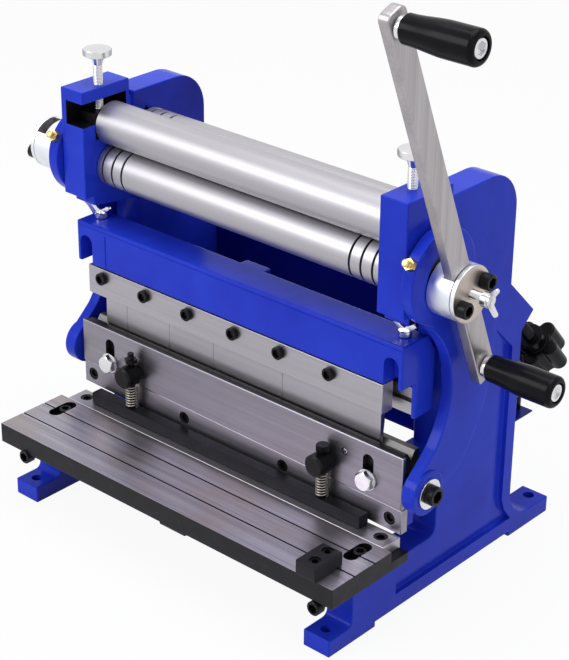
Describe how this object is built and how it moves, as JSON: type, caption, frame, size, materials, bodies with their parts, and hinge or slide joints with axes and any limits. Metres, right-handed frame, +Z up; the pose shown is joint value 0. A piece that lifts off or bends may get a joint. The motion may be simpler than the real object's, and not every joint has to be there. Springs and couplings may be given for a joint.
{
  "type": "combination sheet metal machine",
  "caption": "Bench machine for sheet metal with a shear, a finger brake and slip rolls between two cast frames, turned by a crank.",
  "frame": {"origin": "centre of the bounding box's base, on the bench", "axes": "+X along the rolls towards the crank, +Y from the table to the rear, +Z up"},
  "size_m": [0.5276, 0.3143, 0.5168],
  "materials": {
    "blue_paint": "gloss",
    "ground_steel": "satin",
    "bright_chrome": "gloss",
    "dark_iron": "satin",
    "table_iron": "satin",
    "black_oxide": "satin",
    "black_plastic": "gloss",
    "bronze": "satin",
    "spring_steel": "satin",
    "brass_fitting": "gloss"
  },
  "bodies": {
    "frame": {"left_frame": "blue_paint", "right_frame": "blue_paint", "upper_beam": "blue_paint", "clamp_bar": "ground_steel", "finger_backing_bar": "ground_steel", "finger_1": "ground_steel", "finger_2": "ground_steel", "finger_3": "ground_steel", "finger_4": "ground_steel", "finger_5": "ground_steel", "rear_shelf": "blue_paint", "left_main_bush": "bronze", "right_main_bush": "bronze"},
    "table": {"work_table": "table_iron", "lower_blade": "ground_steel", "side_guide_block": "dark_iron"},
    "ram": {"ram_body": "blue_paint", "upper_blade": "ground_steel", "left_link_arm": "blue_paint", "right_link_arm": "blue_paint", "left_eccentric": "dark_iron", "right_eccentric": "dark_iron", "left_arm_pin": "black_oxide", "right_arm_pin": "black_oxide", "left_apron_bolt": "bright_chrome", "right_apron_bolt": "bright_chrome"},
    "apron": {"apron_plate": "ground_steel", "left_hold_down_barrel": "black_oxide", "right_hold_down_barrel": "black_oxide", "left_hold_down_spring": "spring_steel", "right_hold_down_spring": "spring_steel"},
    "hold_down": {"hold_down_bar": "dark_iron", "left_hold_down_rod": "black_oxide", "right_hold_down_rod": "black_oxide"},
    "main_shaft": {"main_roll": "ground_steel", "lower_gear": "dark_iron", "left_hub": "bright_chrome", "right_hub": "bright_chrome", "left_hub_disc": "bright_chrome", "right_hub_disc": "bright_chrome"},
    "crank": {"crank_bar": "bright_chrome", "high_grip_spindle": "bright_chrome", "low_grip_spindle": "bright_chrome"},
    "high_grip": {"high_grip": "black_plastic"},
    "low_grip": {"low_grip": "black_plastic"},
    "left_hub_wing": {"left_hub_wing_bolt": "bright_chrome"},
    "right_hub_wing": {"right_hub_wing_bolt": "bright_chrome"},
    "upper_bearings": {"left_upper_bearing": "dark_iron", "right_upper_bearing": "dark_iron"},
    "upper_roll": {"upper_roll": "ground_steel", "upper_gear": "dark_iron"},
    "left_thumb": {"left_thumb_screw": "bright_chrome"},
    "right_thumb": {"right_thumb_screw": "bright_chrome"},
    "rear_bearings": {"left_rear_bearing": "dark_iron", "right_rear_bearing": "dark_iron"},
    "rear_roll": {"rear_roll": "ground_steel"},
    "left_rear_knob": {"left_rear_adjuster": "black_plastic"},
    "right_rear_knob": {"right_rear_adjuster": "black_plastic"},
    "left_beam_wing": {"left_beam_wing_bolt": "bright_chrome"},
    "right_beam_wing": {"right_beam_wing_bolt": "bright_chrome"}
  },
  "joints": [
    {"name": "table_reach", "type": "slide", "parent": "frame", "child": "table", "axis": [0, 1, 0], "range_m": [-0.005, 0]},
    {"name": "ram_stroke", "type": "slide", "parent": "frame", "child": "ram", "axis": [0, 0, 1], "range_m": [-0.011, 0]},
    {"name": "apron_height", "type": "slide", "parent": "ram", "child": "apron", "axis": [0, 0, 1], "range_m": [0, 0.002]},
    {"name": "hold_down_lift", "type": "slide", "parent": "apron", "child": "hold_down", "axis": [0, 0, 1], "range_m": [0, 0.011], "deforming": ["left_hold_down_spring", "right_hold_down_spring"]},
    {"name": "main_shaft_turn", "type": "hinge", "parent": "frame", "child": "main_shaft", "pos_m": [-0.0147, -0.04447, 0.2835], "axis": [1, 0, 0], "continuous": true},
    {"name": "crank_reach", "type": "slide", "parent": "main_shaft", "child": "crank", "axis": [0, -0.3786, 0.9255], "range_m": [-0.19, 0.03]},
    {"name": "high_grip_spin", "type": "hinge", "parent": "crank", "child": "high_grip", "pos_m": [-0.0147, -0.13425, 0.50295], "axis": [1, 0, 0], "continuous": true},
    {"name": "low_grip_spin", "type": "hinge", "parent": "crank", "child": "low_grip", "pos_m": [-0.0147, -0.01573, 0.21325], "axis": [1, 0, 0], "continuous": true},
    {"name": "left_hub_wing_turn", "type": "hinge", "parent": "main_shaft", "child": "left_hub_wing", "pos_m": [-0.0147, -0.04447, 0.2835], "axis": [1, 0, 0], "range_deg": [-360, 0]},
    {"name": "right_hub_wing_turn", "type": "hinge", "parent": "main_shaft", "child": "right_hub_wing", "pos_m": [-0.0147, -0.04447, 0.2835], "axis": [1, 0, 0], "range_deg": [0, 360]},
    {"name": "upper_roll_lift", "type": "slide", "parent": "frame", "child": "upper_bearings", "axis": [0, 0, 1], "range_m": [0, 0.003]},
    {"name": "upper_roll_turn", "type": "hinge", "parent": "upper_bearings", "child": "upper_roll", "pos_m": [-0.0147, -0.04447, 0.3203], "axis": [1, 0, 0], "continuous": true},
    {"name": "left_thumb_turn", "type": "hinge", "parent": "upper_bearings", "child": "left_thumb", "pos_m": [-0.1787, -0.04947, 0.353], "axis": [0, 0, 1], "range_deg": [0, 720]},
    {"name": "right_thumb_turn", "type": "hinge", "parent": "upper_bearings", "child": "right_thumb", "pos_m": [0.1493, -0.04947, 0.353], "axis": [0, 0, 1], "range_deg": [0, 720]},
    {"name": "rear_roll_reach", "type": "slide", "parent": "frame", "child": "rear_bearings", "axis": [0, 0.6669, -0.7451], "range_m": [-0.007, 0.02]},
    {"name": "rear_roll_turn", "type": "hinge", "parent": "rear_bearings", "child": "rear_roll", "pos_m": [-0.0147, -0.00247, 0.3045], "axis": [1, 0, 0], "continuous": true},
    {"name": "left_rear_knob_turn", "type": "hinge", "parent": "rear_bearings", "child": "left_rear_knob", "pos_m": [-0.1787, -0.00247, 0.3045], "axis": [0, 0.6669, -0.7451], "range_deg": [-1680, 4800]},
    {"name": "left_beam_wing_turn", "type": "hinge", "parent": "frame", "child": "left_beam_wing", "pos_m": [-0.1787, -0.05147, 0.2343], "axis": [0, 0, 1], "range_deg": [0, 360]},
    {"name": "right_rear_knob_turn", "type": "hinge", "parent": "rear_bearings", "child": "right_rear_knob", "pos_m": [0.1493, -0.00247, 0.3045], "axis": [0, 0.6669, -0.7451], "range_deg": [-1680, 4800]},
    {"name": "right_beam_wing_turn", "type": "hinge", "parent": "frame", "child": "right_beam_wing", "pos_m": [0.1493, -0.05147, 0.2343], "axis": [0, 0, 1], "range_deg": [0, 360]}
  ],
  "couplings": [
    {"joint": "hold_down_lift", "follows": "ram_stroke", "ratio": -1},
    {"joint": "upper_roll_turn", "follows": "main_shaft_turn", "ratio": -1},
    {"joint": "left_thumb_turn", "follows": "upper_roll_lift", "rad_per_m": 4188.8},
    {"joint": "right_thumb_turn", "follows": "upper_roll_lift", "rad_per_m": 4188.8},
    {"joint": "left_rear_knob_turn", "follows": "rear_roll_reach", "rad_per_m": 4188.8},
    {"joint": "right_rear_knob_turn", "follows": "rear_roll_reach", "rad_per_m": 4188.8}
  ]
}
